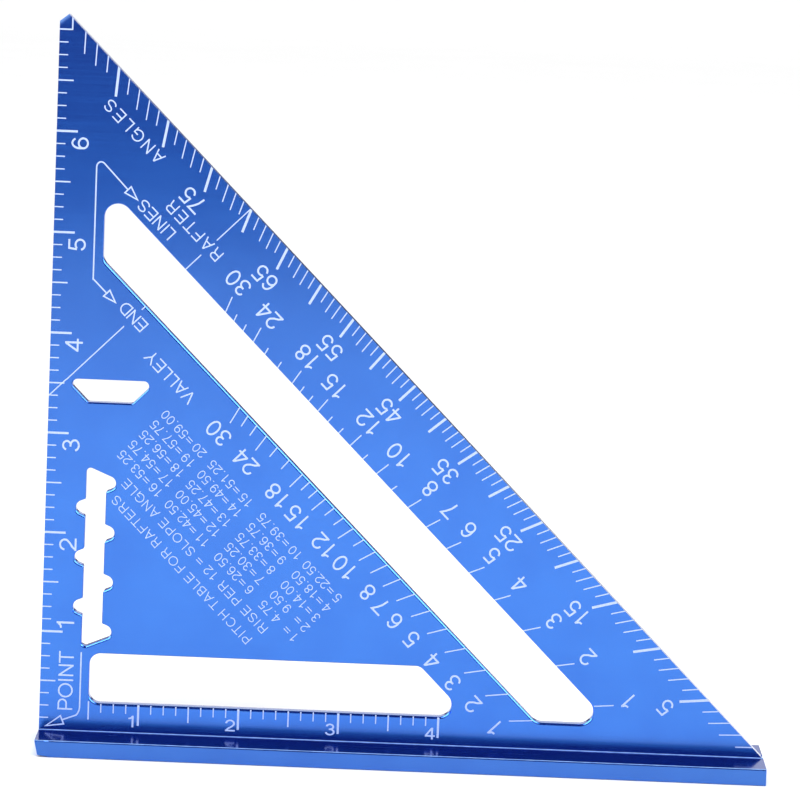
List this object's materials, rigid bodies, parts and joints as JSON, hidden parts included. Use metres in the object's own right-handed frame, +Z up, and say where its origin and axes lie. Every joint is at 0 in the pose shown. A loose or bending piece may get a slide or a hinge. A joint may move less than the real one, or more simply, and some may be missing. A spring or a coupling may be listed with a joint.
{
  "type": "speed square",
  "caption": "Triangular rafter square in blue anodised aluminium: a flat slotted blade with inch and angle scales, standing on a T-shaped fence that hooks over a board's edge.",
  "frame": {"origin": "centre of the fence's underside, on the plane that the square stands on", "axes": "+X runs along the fence away from the pivot corner, -Y faces the side with the scales, +Z runs up the blade"},
  "size_m": [0.1842, 0.031, 0.186],
  "materials": {
    "blade": "brushed and anodised blue, satin, with white etched scales",
    "fence": "anodised blue, satin"
  },
  "bodies": {
    "root": {"blade": "blade", "fence": "fence"}
  },
  "joints": []
}
